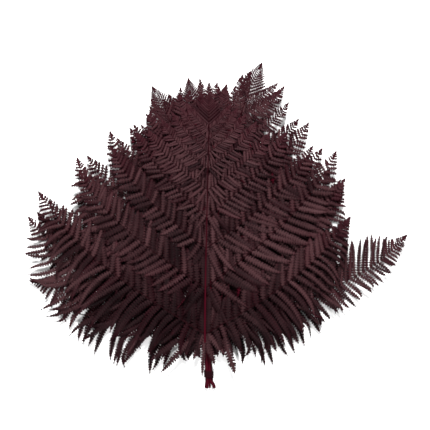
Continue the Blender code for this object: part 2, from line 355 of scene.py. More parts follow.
@dataclass(frozen=True)
class BandRubber(Finish):
    """Extruded natural rubber band, dipped with the stalks.

    The eye gets a dull, almost black red with fine marks where it ran through the die."""

    roughness: float = 0.8
    ior: float = 1.52
    relief: float = 0.4
    relief_mm: float = 0.1
    base: str = "#0d0204"
    worn: str = "#24050b"
    # Real marks are about 0.2 mm apart, too fine to show, so they are drawn coarser.
    mark_mm: float = 0.6

    def build(self) -> bpy.types.Material:
        """Make the rubber material.

        Returns:
            The material.
        """
        material = self.start()
        place = add_node(material, "ShaderNodeTexCoord").outputs["Object"]
        marks = add_node(
            material, "ShaderNodeTexNoise",
            {"in:Scale": 1.0 / (self.mark_mm * MM), "in:Detail": 3.0}, {"Vector": place},
        ).outputs["Fac"]
        ramp = add_node(
            material, "ShaderNodeValToRGB",
            {"stops": ((0.35, linear(self.base)), (0.75, linear(self.worn)))}, {"Fac": marks},
        )
        return self.dress(material, ramp.outputs["Color"], marks)


@dataclass(frozen=True)
class CardFloor(Finish):
    """Plain matt white card that the bunch lies on: it gives the eye an even, pale ground."""

    roughness: float = 0.9
    white: str = "#f6f6f6"

    def build(self) -> bpy.types.Material:
        """Make the card material.

        Returns:
            The material.
        """
        material = self.start()
        inputs = material.node_tree.nodes["Principled BSDF"].inputs
        inputs["Base Color"].default_value = linear(self.white)
        inputs["Roughness"].default_value = self.roughness
        return material


@dataclass(frozen=True)
class Stack:
    """How the fronds lie on one another: sizes in millimetres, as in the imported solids."""

    first_level: float = 1.6
    pitch: float = 4.6
    arch_height: float = 3.2
    arch_reach: float = 240.0
    flat_strip: float = 12.0
    edge_squeeze: float = 0.14

    def height(self, x: np.ndarray, y: np.ndarray, level: np.ndarray) -> np.ndarray:
        """Give the height of points of the stack, so that no two layers cross.

        Args:
            x: Places across.
            y: Places along the ribs.
            level: Levels in the flat stack.

        Returns:
            Heights above the ground.
        """
        across = np.maximum(0.0, np.abs(x) - self.flat_strip) / self.arch_reach
        arch = np.sin(math.pi * np.minimum(1.0, across)) ** 2 * (0.8 + 0.2 * np.sin(y / 47.0))
        out = smooth((np.hypot(x, y) - 110.0) / 150.0)
        return self.arch_height * arch + level * (1.0 - self.edge_squeeze * out)

    def level(self, layer: int) -> float:
        """Give the level of a layer's ribs, in millimetres."""
        return self.first_level + self.pitch * layer


@dataclass(frozen=True)
class Bundle:
    """The stalks drawn together below the leaves: places and sizes in millimetres."""

    top: float = -138.0
    firm: float = -170.0
    height: float = 3.75
    drift: float = 0.04
    free_from: float = -196.0
    stalk_radius: float = 1.45
    rib_tip_radius: float = 0.42
    stalk_gap: float = 0.3
    sides: int = 6

    @property
    def corner_radius(self) -> float:
        """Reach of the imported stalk's corners."""
        return self.stalk_radius / math.cos(math.pi / self.sides)

    @property
    def pitch(self) -> float:
        """Distance between neighbouring stalks."""
        return 2.0 * self.corner_radius + self.stalk_gap

    @property
    def rise(self) -> float:
        """Height of the upper row of stalks over the lower."""
        return self.pitch * math.sin(math.radians(60.0))

    def centre(self, y: float) -> float:
        """Give the sideways middle of the stalks at a place along them."""
        return 0.3 + self.drift * max(0.0, self.firm - y)


@dataclass(frozen=True)
class FrondPlan:
    """Where one frond stands: places in millimetres, headings in degrees to the left.

    The tips are those of the leaves that reach past the plain growth rule; turns bends one
    leaf's rib, lower_share shortens one leaf's lower leaflets, stretch lengthens the middle
    ones of its lower and upper edge, sway bends its lower leaflets on their way, close sets
    its leaflets nearer to one another, and hanging gives the start, tip and half width of single
    leaflets that hang down beside the stalks."""

    name: str
    layer: int
    foot: tuple[float, float]
    tip: tuple[float, float]
    heading: float
    angle: float
    reach: float
    bow: float
    seat: tuple[float, float]
    end: tuple[float, float]
    tips: dict[str, tuple[float, float]] = field(default_factory=dict)
    turns: dict[str, tuple[float, float]] = field(default_factory=dict)
    lower_share: dict[str, float] = field(default_factory=dict)
    stretch: dict[str, tuple[float, float]] = field(default_factory=dict)
    sway: dict[str, tuple[float, float]] = field(default_factory=dict)
    close: dict[str, float] = field(default_factory=dict)
    hanging: tuple[tuple[float, float, float, float, float], ...] = ()


PLANS = (
    FrondPlan(
        "frond_1", 0, (4.2, -137.0), (25.0, 218.0), -14.0, 56.0, 0.84, -8.75, (1.0, 0.0),
        (9.8, -208.2),
        {"L1": (-241.0, 40.0), "R1": (206.0, -31.0), "L2": (-185.0, 64.0),
         "R2": (191.0, 84.0), "L3": (-126.0, 126.0)},
        lower_share={"L2": 0.8, "L3": 0.75, "L4": 0.8},
        hanging=(
            (52.0, -114.0, 79.0, -161.0, 5.5), (72.0, -106.0, 97.0, -158.0, 5.0),
            (98.0, -95.0, 128.0, -147.0, 5.5),
        ),
    ),
    FrondPlan(
        "frond_2", 1, (-6.3, -137.0), (-28.0, 228.0), 14.0, 56.0, 0.84, 0.0, (-1.0, 0.0),
        (-3.6, -208.4),
        {"L1": (-252.0, -57.0), "R1": (199.0, 33.0), "L2": (-235.0, 32.0),
         "L3": (-176.0, 96.0), "R7": (15.0, 216.0), "R8": (1.0, 222.0),
         "R9": (-12.0, 227.0)},
        turns={"L1": (12.0, 4.0)},
        hanging=((-60.0, -122.0, -86.0, -160.0, 5.0), (-85.0, -115.0, -115.0, -163.0, 5.0)),
    ),
    FrondPlan(
        "frond_3", 2, (-1.0, -134.0), (-79.0, 216.0), 33.0, 55.0, 0.84, 0.0, (0.0, 0.0),
        (2.4, -208.0),
        {"L1": (-252.7, 33.6), "L2": (-222.0, 50.0), "L3": (-169.5, 119.0),
         "L4": (-136.0, 130.0), "L5": (-110.0, 158.0), "L6": (-94.0, 162.0),
         "L7": (-86.0, 176.0), "L8": (-82.0, 188.0), "L9": (-80.0, 198.0),
         "R1": (190.0, 78.0)},
        lower_share={"L3": 0.8, "L4": 0.6, "L5": 0.7, "L6": 0.6, "L7": 0.45, "L8": 0.45,
                     "L9": 0.45},
        stretch={"L1": (0.75, 0.0)}, sway={"L1": (15.0, 55.0)},
    ),
    FrondPlan(
        "frond_4", 3, (1.4, -133.0), (76.0, 249.0), -27.0, 55.0, 0.82, 0.0, (0.5, 1.0),
        (7.6, -208.5),
        {"L1": (-183.0, 116.0), "L2": (-137.0, 153.0), "L3": (-81.0, 181.0),
         "L4": (-40.0, 206.0), "L5": (13.3, 220.8), "L6": (26.6, 218.4),
         "L7": (38.6, 215.6), "L8": (49.0, 232.0), "L9": (61.0, 237.0), "R1": (279.0, 8.0),
         "R2": (192.0, 87.0), "R3": (160.0, 129.0), "R4": (141.0, 165.0),
         "R5": (127.0, 170.0), "R6": (113.0, 193.0), "R7": (107.0, 216.0)},
        lower_share={"R1": 0.58, "L1": 0.6, "L2": 0.4, "L3": 0.5}, stretch={"R1": (0.0, 0.45)},
        sway={"R1": (-10.0, 25.0)}, close={"R1": 0.60},
    ),
    FrondPlan(
        "frond_5", 4, (-4.2, -131.0), (1.4, 207.0), 0.0, 55.0, 0.86, 0.0, (-0.5, 1.0),
        (-0.8, -208.3),
        {"L1": (-237.0, 69.0), "R1": (199.0, 33.0), "L2": (-180.0, 98.0),
         "R2": (179.0, 125.0), "L3": (-134.0, 130.0), "R3": (146.0, 132.0),
         "L4": (-98.0, 150.0), "R4": (110.0, 152.0)},
        lower_share={"L2": 0.8, "L3": 0.65, "L4": 0.7},
        hanging=(
            (-5.0, -133.0, -8.0, -190.0, 3.5), (-3.0, -133.0, 10.0, -175.0, 5.0),
            (22.0, -138.0, 38.0, -187.0, 6.5), (-20.0, -134.0, -67.0, -186.0, 5.0),
            (-42.0, -140.0, -80.0, -167.0, 5.0), (0.0, -131.0, 24.0, -160.0, 5.0),
            (-8.0, -131.0, -21.0, -168.0, 4.0),
        ),
    ),
)


class MeshStore:
    """Gathers closed bodies, in millimetres, and turns them into one object."""

    def __init__(self) -> None:
        """Start empty."""
        self.points: list[np.ndarray] = []
        self.faces: list[np.ndarray] = []
        self.eased: list[np.ndarray] = []
        self.tone: list[np.ndarray] = []
        self.thin: list[np.ndarray] = []
        self.under: list[np.ndarray] = []
        self.count = 0

    def add(
        self, points: np.ndarray, faces: np.ndarray, eased: np.ndarray | bool,
        tone: np.ndarray | float = 0.5, thin: np.ndarray | float = 0.0,
        under: np.ndarray | bool = False,
    ) -> None:
        """Add one closed body.

        Args:
            points: Places, one row each.
            faces: Triangles by point number.
            eased: Which triangles are shaded smooth.
            tone: How light this body's colour is, 0 to 1, painted shade and light included.
            thin: How thin the blade is at each point, 0 to 1.
            under: Which triangles belong to a blade's underside.
        """
        self.points.append(points)
        self.faces.append(faces + self.count)
        self.eased.append(np.broadcast_to(eased, len(faces)))
        self.tone.append(np.broadcast_to(tone, len(points)))
        self.thin.append(np.broadcast_to(thin, len(points)))
        self.under.append(np.broadcast_to(under, len(faces)))
        self.count += len(points)

    def build(self, name: str, material: bpy.types.Material) -> bpy.types.Object:
        """Make the object.

        Args:
            name: Name of the object.
            material: Its finish.

        Returns:
            The object, linked to the scene.
        """
        points = np.concatenate(self.points) * MM
        faces = np.concatenate(self.faces).astype(np.int32)
        mesh = bpy.data.meshes.new(name)
        mesh.vertices.add(len(points))
        mesh.vertices.foreach_set("co", points.astype(np.float32).ravel())
        mesh.loops.add(faces.size)
        mesh.loops.foreach_set("vertex_index", faces.ravel())
        mesh.polygons.add(len(faces))
        mesh.polygons.foreach_set("loop_start", np.arange(0, faces.size, 3, dtype=np.int32))
        mesh.polygons.foreach_set("use_smooth", np.concatenate(self.eased))
        for label, values, domain in (
            ("tone", self.tone, "POINT"), ("thin", self.thin, "POINT"),
            ("under", self.under, "FACE"),
        ):
            layer = mesh.attributes.new(label, "FLOAT", domain)
            layer.data.foreach_set("value", np.concatenate(values).astype(np.float32))
        mesh.update(calc_edges=True)
        self.crease(mesh)
        mesh.materials.append(material)
        piece = bpy.data.objects.new(name, mesh)
        bpy.context.scene.collection.objects.link(piece)
        return piece

    def crease(self, mesh: bpy.types.Mesh) -> None:
        """Mark the edges between smooth and flat triangles as sharp, so that each keeps its own
        shading.

        Args:
            mesh: The finished mesh.
        """
        edge_of = np.empty(len(mesh.loops), dtype=np.int32)
        mesh.loops.foreach_get("edge_index", edge_of)
        eased = np.repeat(np.concatenate(self.eased), 3).astype(float)
        smooth_sides = np.bincount(edge_of, eased, len(mesh.edges))
        all_sides = np.bincount(edge_of, None, len(mesh.edges))
        layer = mesh.attributes.new("sharp_edge", "BOOLEAN", "EDGE")
        layer.data.foreach_set("value", (smooth_sides > 0) & (smooth_sides < all_sides))


def tube_walls(count: int, size: int) -> tuple[np.ndarray, np.ndarray]:
    """Number the corners of the walls of a tube that is made of rings of points.

    Args:
        count: Number of rings.
        size: Points in each ring.

    Returns:
        Each wall's corner and the next one round the same ring. The same two corners on the
        ring after it have numbers that are size higher.
    """
    ring = np.arange(count - 1)[:, None] * size
    return (ring + np.arange(size)).ravel(), (ring + (np.arange(size) + 1) % size).ravel()


@dataclass(frozen=True)
class Rod:
    """A round, tapered, gently bent rod, such as a rib, closed at both ends."""

    sides: int = 8
    groove: float = 0.0

    def add(
        self, store: MeshStore, path: np.ndarray, radii: np.ndarray, floor: float = -1e9,
        tone: np.ndarray | float = 0.4,
    ) -> None:
        """Add the rod to a store.

        Args:
            store: Where it goes.
            path: Places along it, one row each, in millimetres.
            radii: Radius at each place.
            floor: Height that it doesn't reach below.
            tone: How light the colour is at each place, 0 to 1, painted shade included.
        """
        ahead = np.gradient(path, axis=0)
        flat = np.hypot(ahead[:, 0], ahead[:, 1]) + 1e-9
        across = np.stack((ahead[:, 1] / flat, -ahead[:, 0] / flat), axis=1)
        turn = np.linspace(0.0, 2.0 * math.pi, self.sides, endpoint=False)
        dip = 1.0 - self.groove * np.exp(-(((turn - math.pi / 2.0) / 0.42) ** 2))
        wide = radii[:, None] * np.cos(turn) * dip
        high = radii[:, None] * np.sin(turn) * dip
        x = path[:, 0, None] + across[:, 0, None] * wide
        y = path[:, 1, None] + across[:, 1, None] * wide
        z = np.maximum(path[:, 2, None] + high, floor)
        rings = np.stack((x, y, z), axis=2).reshape(-1, 3)
        ends = np.stack((path[0], path[-1]))
        ends[:, 2] = np.maximum(ends[:, 2], floor)
        points = np.concatenate((rings, ends))
        count, sides = len(path), self.sides
        low, low_next = tube_walls(count, sides)
        around = np.arange(sides)
        after = (around + 1) % sides
        middle, back = count * sides, (count - 1) * sides
        faces = np.concatenate((
            np.stack((low + sides, low_next + sides, low), axis=1),
            np.stack((low_next + sides, low_next, low), axis=1),
            np.stack((around, after, np.full(sides, middle)), axis=1),
            np.stack((back + after, back + around, np.full(sides, middle + 1)), axis=1),
        ))
        eased = np.arange(len(faces)) < len(faces) - 2 * sides
        tones = np.broadcast_to(tone, count)
        tones = np.concatenate((np.repeat(tones, sides), tones[[0, -1]]))
        store.add(points, faces, eased, tones)


class BladeNet:
    """Gathers a leaflet's points, each with its place relative to the vein, and triangles."""

    def __init__(self) -> None:
        """Start empty."""
        self.plan: list[np.ndarray] = []
        self.lateral: list[np.ndarray] = []
        self.along: list[np.ndarray] = []
        self.rise: list[np.ndarray] = []
        self.rows: list[np.ndarray] = []
        self.under: list[np.ndarray] = []
        self.count = 0

    def add_points(
        self, plan: np.ndarray, lateral: np.ndarray | float, along: np.ndarray,
        rise: np.ndarray | float,
    ) -> np.ndarray:
        """Add a row of points.

        Args:
            plan: Places across and up the sheet.
            lateral: Distances from the vein, to the left positive.
            along: Distances along the vein.
            rise: Heights above the leaflet's own middle surface.

        Returns:
            The points' numbers.
        """
        size = len(plan)
        self.plan.append(plan)
        self.lateral.append(np.broadcast_to(lateral, size))
        self.along.append(np.broadcast_to(along, size))
        self.rise.append(np.broadcast_to(rise, size))
        self.count += size
        return np.arange(self.count - size, self.count)

    def add_faces(
        self, corners: tuple[np.ndarray, np.ndarray, np.ndarray], side: int, under: bool
    ) -> None:
        """Add rows of triangles, turned the right way for their half of the blade.

        Args:
            corners: First, second and third points.
            side: 1 for the left half and -1 for the right half.
            under: Whether they belong to the underside.
        """
        order = corners if side > 0 else corners[::-1]
        rows = np.stack([np.atleast_1d(corner) for corner in order], axis=1)
        self.rows.append(rows)
        self.under.append(np.full(len(rows), under))


@dataclass(frozen=True)
class BladeShape:
    """How a leaflet's blade is cut and curved. Sizes in millimetres, angles in degrees.

    Real segments are about 2 mm apart, too fine to show at the photograph's size, so they are
    drawn coarser. An outline gives a segment's points as shares of its length and of the
    pitch, with how far each lies below the crest as a share of the margin's drop."""

    widest_pitch: float = 3.6
    young_pitch: float = 2.3
    pitch_growth: float = 0.34
    lobed_share: float = 0.92
    base_slant: float = 84.0
    tip_slant: float = 62.0
    crown: float = 0.22
    crown_at: float = 0.58
    margin_drop: float = 0.32
    relief_half: float = 3.0
    web_depth: float = 0.16
    web_half: float = 0.12
    droop_slope: float = 0.08
    droop_curve: float = 0.10
    # How strongly tone follows height over the leaflet's middle surface: painted shade in the cuts
    # and at the margins, painted light on the crests.
    painted_relief_shade: float = 2.1
    grown_half: float = 2.6
    young_half: float = 1.5
    veined_from: float = 18.0
    vein_radii: tuple[float, float] = (0.50, 0.16)
    vein_tone: float = 0.35
    ground: float = 0.03
    grown_outline: tuple[tuple[float, float, float], ...] = (
        (0.34, -0.43, -0.8), (0.84, -0.40, -1.0), (1.0, -0.06, -1.1), (0.90, 0.34, -1.0),
        (0.38, 0.43, -0.8),
    )
    young_outline: tuple[tuple[float, float, float], ...] = (
        (0.68, -0.42, -0.7), (1.0, 0.06, -1.0), (0.70, 0.43, -0.7),
    )

    def relief(self, half: float) -> float:
        """Give how much of the full relief a leaflet of a half width has, as a share."""
        return min(1.0, half / self.relief_half)

    def cut(self, half: float) -> float:
        """Give how far from the vein the cuts end, as a share, for a leaflet's half width."""
        return 0.27 if half > self.grown_half else (0.45 if half > self.young_half else 0.70)

    def pitch(self, half: float) -> float:
        """Give the distance between segments for a leaflet's half width."""
        return min(self.widest_pitch, self.young_pitch + self.pitch_growth * half)

    def outline(self, half: float) -> tuple[tuple[float, float, float], ...]:
        """Give the outline of a segment for a leaflet's half width."""
        return self.grown_outline if half > self.grown_half else self.young_outline

    def half_width(self, share: np.ndarray) -> np.ndarray:
        """Give half the width, as a share of the widest, at shares of the vein's length."""
        rise = 0.80 + 0.20 * smooth(share / 0.10)
        return rise * (1.0 - 0.80 * np.clip((share - 0.58) / 0.38, 0.0, 1.0) ** 1.6)


@dataclass
class Leaflet:
    """One leaflet: a tapering blade cut into rounded segments on both sides of its vein.

    Sizes in millimetres, angles in degrees; out is the unit direction away from the leaf's
    rib and apex is 1 where the leaf's tip lies to the left of the leaflet, else -1."""

    base: np.ndarray
    heading: float
    length: float
    half: float
    out: np.ndarray
    apex: int
    level: float
    lift: float = 0.0
    turn: float = 8.0
    hook: float = 0.0
    droop: float = 0.0
    roll: float = 0.0
    twist: float = 0.0
    # Lightness of the leaflet's colour, painted shade of the fronds above included.
    tone: float = 0.5
    red: float = 0.0
    shape: BladeShape = BladeShape()

    def __post_init__(self) -> None:
        """Lay the vein's curve."""
        steps = 32
        self.marks = np.linspace(0.0, self.length, steps + 1)
        share = self.marks / self.length
        bend = self.heading + self.apex * (
            self.turn * share + self.hook * smooth((share - 0.62) / 0.38)
        )
        rad = np.radians(bend)
        self.ways = np.stack((-np.sin(rad), np.cos(rad)), axis=1)
        moves = (self.ways[1:] + self.ways[:-1]) / 2.0 * (self.length / steps)
        self.vein = self.base + np.concatenate((np.zeros((1, 2)), np.cumsum(moves, axis=0)))

    def spine(self, along: np.ndarray) -> tuple[np.ndarray, np.ndarray, np.ndarray]:
        """Find places on the vein.

        Args:
            along: Distances along it.

        Returns:
            Places, unit directions and unit directions to the left.
        """
        place = np.stack([np.interp(along, self.marks, self.vein[:, k]) for k in (0, 1)], axis=1)
        way = np.stack([np.interp(along, self.marks, self.ways[:, k]) for k in (0, 1)], axis=1)
        return place, way, np.stack((-way[:, 1], way[:, 0]), axis=1)

    def add(self, blades: MeshStore, stack: Stack, rng: np.random.Generator) -> None:
        """Add the blade, and its vein where it is long enough to show one.

        Args:
            blades: Store that they go into.
            stack: Heights of the stack.
            rng: Source of the small irregularities.
        """
        shape, net = self.shape, BladeNet()
        lobed = shape.lobed_share * self.length
        count = max(2, round(lobed / shape.pitch(self.half)))
        edge = np.linspace(0.0, lobed, count + 1)
        place, _, left = self.spine(edge)
        half = self.half * shape.half_width(edge / self.length)
        notch = half * shape.cut(self.half) + shape.web_half
        top = net.add_points(place, 0.0, edge, 0.06)
        tail_at = np.array([(shape.lobed_share + 1.0) / 2.0 * self.length])
        tail, _, tail_left = self.spine(tail_at)
        tail_half = half[-1] * 0.6
        tail_top = net.add_points(tail, 0.0, tail_at, 0.08)
        end_at = np.array([self.length])
        tip = net.add_points(self.spine(end_at)[0], 0.0, end_at, 0.0)
        rims, flanks = {}, {}
        for side in (1, -1):
            rim = net.add_points(
                place + left * (notch * side)[:, None], notch * side, edge, -shape.web_depth,
            )
            flank = net.add_points(
                tail + tail_left * tail_half * side, tail_half * side, tail_at, -0.1,
            )
            lobes, crest = self.segments(net, (edge[1:] + edge[:-1]) / 2.0, edge[1], side, rng)
            loop = (top[:-1], top[1:], rim[1:], *lobes[::-1], rim[:-1])
            for here, after in zip(loop, loop[1:] + loop[:1]):
                net.add_faces((crest, here, after), side, False)
            reach = (len(lobes) + 1) // 2
            near, far = (rim[:-1], *lobes[:reach]), (rim[1:], *lobes[::-1][:reach])
            for k in range(reach):
                net.add_faces((near[k], near[k + 1], far[k]), side, True)
                if near[k + 1] is not far[k + 1]:
                    net.add_faces((near[k + 1], far[k + 1], far[k]), side, True)
            for corners in (
                (top[-1], tail_top, flank), (top[-1], flank, rim[-1]), (tail_top, tip, flank),
            ):
                net.add_faces(corners, side, False)
            rims[side], flanks[side] = rim, flank
        l_rim, r_rim = rims[1], rims[-1]
        for corners in (
            (l_rim[:-1], l_rim[1:], r_rim[1:]), (l_rim[:-1], r_rim[1:], r_rim[:-1]),
            (l_rim[0], r_rim[0], top[0]), (l_rim[-1], flanks[1], flanks[-1]),
            (l_rim[-1], flanks[-1], r_rim[-1]), (flanks[1], tip, flanks[-1]),
        ):
            net.add_faces(corners, 1, True)
        places, thin = self.raised(net, stack)
        below = np.concatenate(net.under)
        # Tone follows each point's height over the leaflet's middle surface: painted shade in the
        # cuts and at the margins, painted light on the crests.
        tone = np.clip(self.tone + shape.painted_relief_shade * np.concatenate(net.rise), 0.0, 1.2)
        blades.add(places, np.concatenate(net.rows), ~below, tone, thin, below)
        if self.length > shape.veined_from:
            pick = np.unique(np.linspace(0, count, min(count + 1, 5)).round().astype(int))
            path = np.concatenate((places[top[pick]], places[tail_top]))
            Rod(sides=3).add(
                blades, path, np.linspace(*shape.vein_radii, len(path)),
                tone=self.tone + shape.vein_tone,
            )

    def segments(
        self, net: BladeNet, middle: np.ndarray, pitch: float, side: int,
        rng: np.random.Generator,
    ) -> tuple[list[np.ndarray], np.ndarray]:
        """Lay out the segments on one side of the vein.

        Args:
            net: Where their points go.
            middle: Distances of the segments along the vein.
            pitch: Distance between segments.
            side: 1 for the left side and -1 for the right side.
            rng: Source of the small irregularities.

        Returns:
            The outline's rows of points and the row of crests.
        """
        shape, count = self.shape, len(middle)
        place, way, _ = self.spine(middle)
        slant = np.linspace(shape.base_slant, shape.tip_slant, count) + rng.normal(0.0, 3.0, count)
        slant = np.radians(slant)
        half = self.half * shape.half_width(middle / self.length)
        long = half / np.sin(slant) * rng.uniform(0.93, 1.05, count)
        c, s = np.cos(slant * side), np.sin(slant * side)
        axis = np.stack((way[:, 0] * c - way[:, 1] * s, way[:, 0] * s + way[:, 1] * c), axis=1)
        apical = np.stack((axis[:, 1], -axis[:, 0]), axis=1) * side
        drop = shape.margin_drop * shape.relief(self.half)
        crown = shape.crown * shape.relief(self.half)
        sag = rng.normal(0.0, 0.25, count) * drop
        rows = []
        for share, beside, low in shape.outline(self.half) + ((shape.crown_at, 0.0, 0.0),):
            plan = place + (long * share)[:, None] * axis + pitch * beside * apical
            rise = low * drop + sag * share if low else np.full(count, crown)
            rows.append(net.add_points(plan, long * share * np.sin(slant) * side, middle, rise))
        return rows[:-1], rows[-1]

    def raised(self, net: BladeNet, stack: Stack) -> tuple[np.ndarray, np.ndarray]:
        """Bend the flat layout to its place in the stack.

        Args:
            net: The flat layout.
            stack: Heights of the stack.

        Returns:
            The finished points, and how thin the blade is at each of them.
        """
        plan, lateral = np.concatenate(net.plan), np.concatenate(net.lateral)
        along, rise = np.concatenate(net.along), np.concatenate(net.rise)
        share = along / self.length
        wide = np.abs(lateral)
        rise = rise - self.shape.droop_slope * wide
        rise = rise - self.shape.droop_curve * wide ** 2 / max(self.half, 0.5)
        phi = np.radians(self.roll + self.twist * smooth(share / 0.8))
        _, _, left = self.spine(along)
        plan = plan - left * (lateral * (1.0 - np.cos(phi)) + rise * np.sin(phi))[:, None]
        away = (plan - self.base) @ self.out
        z = stack.height(plan[:, 0], plan[:, 1], self.level + self.lift * away)
        z = z + lateral * np.sin(phi) + rise * np.cos(phi) - self.droop * self.length * share ** 2
        reach = wide / max(self.half, 0.1)
        thin = self.red + 0.5 * smooth((share - 0.75) / 0.25) + 0.2 * smooth((reach - 0.3) / 0.6)
        z = np.maximum(z, self.shape.ground)
        return np.column_stack((plan, z)), np.clip(thin, 0.0, 0.9)


@dataclass
class SideLeaf:
    """One leaf of a frond, on one side of the main rib, with all its leaflets.

    Sizes in millimetres, angles in degrees. A play is how far the leaflets stray."""

    stack: Stack
    base: np.ndarray
    tip: np.ndarray
    side: Side
    level: float
    tilt: float
    lowest: bool
    rng: np.random.Generator
    # Painted shade of the fronds above, taken off the tone near the middle of the bunch.
    painted_layer_shade: float = 0.0
    turns: tuple[float, float] = (9.0, -22.0)
    lower_share: float = 1.0
    stretch: tuple[float, float] = (0.0, 0.0)
    sway: tuple[float, float] = (0.0, 0.0)
    close: float = 1.0
    lower_reach: float = 0.23
    upper_reach: float = 0.19
    lower_angle: float = 69.0
    upper_angle: float = 60.0
    # Tone lighter towards the sides of the bunch and darker towards the foot.
    side_lightening: float = 0.14
    foot_darkening: float = 0.62
    widest_gap: float = 10.0
    blade_fill: float = 0.475
    tip_fill: float = 0.60
    rib_rings: int = 25
    rib_drop: float = 0.35
    rib_tone: float = 0.12
    bare_foot: float = 1.8
    lowest_bare_foot: float = 3.5
    bare_tip: float = 1.6
    edge_shift: float = 1.0
    tones: tuple[float, float] = (0.32, 0.72)
    tone_play: float = 0.20
    lean_play: float = 6.5
    roll_play: float = 11.0
    twist_play: float = 9.0
    hooked_share: float = 0.3
    hooked: tuple[float, float] = (15.0, 70.0)
    curled_share: float = 0.05
    curled: tuple[float, float] = (60.0, 150.0)

    def __post_init__(self) -> None:
        """Lay the rib's curve and measure along it."""
        far = math.dist(self.base, self.tip)
        chord = heading_of(self.base, self.tip)
        turn = self.side.value
        first = self.base + polar(chord + turn * self.turns[0]) * far * 0.35
        last = self.tip - polar(chord + turn * self.turns[1]) * far * 0.3
        t = np.linspace(0.0, 1.0, 121)[:, None]
        s = 1.0 - t
        self.rib = (
            s ** 3 * self.base + 3 * s * s * t * first + 3 * s * t * t * last + t ** 3 * self.tip
        )
        steps = np.hypot(*np.diff(self.rib, axis=0).T)
        self.marks = np.concatenate(((0.0,), np.cumsum(steps)))
        self.length = float(self.marks[-1])
        self.far = far

    def at(self, distance: float) -> tuple[np.ndarray, float]:
        """Find a place on the rib.

        Args:
            distance: How far along it, in millimetres.

        Returns:
            The place and the heading there.
        """
        here = np.array([np.interp(distance, self.marks, self.rib[:, k]) for k in (0, 1)])
        near = np.array([
            np.interp(distance + 1.0, self.marks, self.rib[:, k])
            - np.interp(distance - 1.0, self.marks, self.rib[:, k]) for k in (0, 1)
        ])
        return here, heading_of(np.zeros(2), near)

    def gap(self, left: float) -> float:
        """Give the distance between leaflets where a length is left to the leaf's tip."""
        widest = self.widest_gap * math.tanh((self.far / 180.0) ** 1.8) * self.close
        return widest * math.tanh(4.0 * left / self.far) + 0.7 + 0.004 * self.far

    def add(self, blades: MeshStore, veins: MeshStore) -> None:
        """Add the leaf's rib and leaflets.

        Args:
            blades: Store of the leaflets.
            veins: Store of the ribs.
        """
        high = self.stack.height(self.rib[:, 0], self.rib[:, 1], self.level)
        share = np.linspace(0.0, 1.0, self.rib_rings)
        pick = np.linspace(0, len(self.rib) - 1, self.rib_rings).round().astype(int)
        path = np.column_stack((self.rib[pick], high[pick] - self.rib_drop))
        radii = (0.22 + 0.0028 * self.far) * (1.0 - 0.78 * share ** 0.8) + 0.12
        radii = np.maximum(radii, np.linspace(0.55, 0.34, self.rib_rings))
        Rod(sides=8, groove=0.12).add(veins, path, radii, floor=0.02, tone=self.rib_tone)
        leaf_tone = self.rng.uniform(*self.tones)
        for edge in Edge:
            distance = self.lowest_bare_foot if self.lowest else self.bare_foot
            distance += 0.0 if edge is Edge.LOWER else self.edge_shift
            while self.length - distance > self.bare_tip:
                self.leaflet(edge, distance, leaf_tone).add(blades, self.stack, self.rng)
                distance += self.gap(self.length - distance) * self.rng.uniform(0.96, 1.04)
        self.point(leaf_tone).add(blades, self.stack, self.rng)

    def point(self, leaf_tone: float) -> Leaflet:
        """Size the leaflet that ends the leaf, in line with its rib.

        Args:
            leaf_tone: The leaf's lightness, 0 to 1.

        Returns:
            The leaflet.
        """
        long = 4.5 + 0.03 * self.far
        here, heading = self.at(self.length - long)
        return Leaflet(
            here, heading, long, 1.0 + 0.003 * self.far, polar(heading), 1, self.level,
            turn=0.0, tone=leaf_tone, red=0.5,
        )

    def leaflet(self, edge: Edge, distance: float, leaf_tone: float) -> Leaflet:
        """Size and turn one leaflet.

        Args:
            edge: The leaf's edge that it grows on.
            distance: Its place along the rib.
            leaf_tone: The leaf's lightness, 0 to 1.

        Returns:
            The leaflet.
        """
        rng, lower = self.rng, edge is Edge.LOWER
        sweeping = self.lowest and lower
        out_side = self.side.value * (1 if lower else -1)
        reach = (self.lower_reach * self.lower_share if lower else self.upper_reach) * self.far
        angle = self.lower_angle if lower else self.upper_angle
        left = self.length - distance
        gap = self.gap(left)
        # Leaflets grow to full length over the first few, and shrink again to the tip.
        grown = smooth((distance - 2.0) / ((5.0 if sweeping else 2.5) * gap))
        start = 0.52 if sweeping else 1.12
        long = reach * math.tanh(0.5 * left / reach) * (start + (1.0 - start) * grown)
        bulge = smooth((left - 18.0) / 40.0) * (1.0 - smooth((left - 170.0) / 80.0))
        long *= 1.0 + self.stretch[0 if lower else 1] * bulge
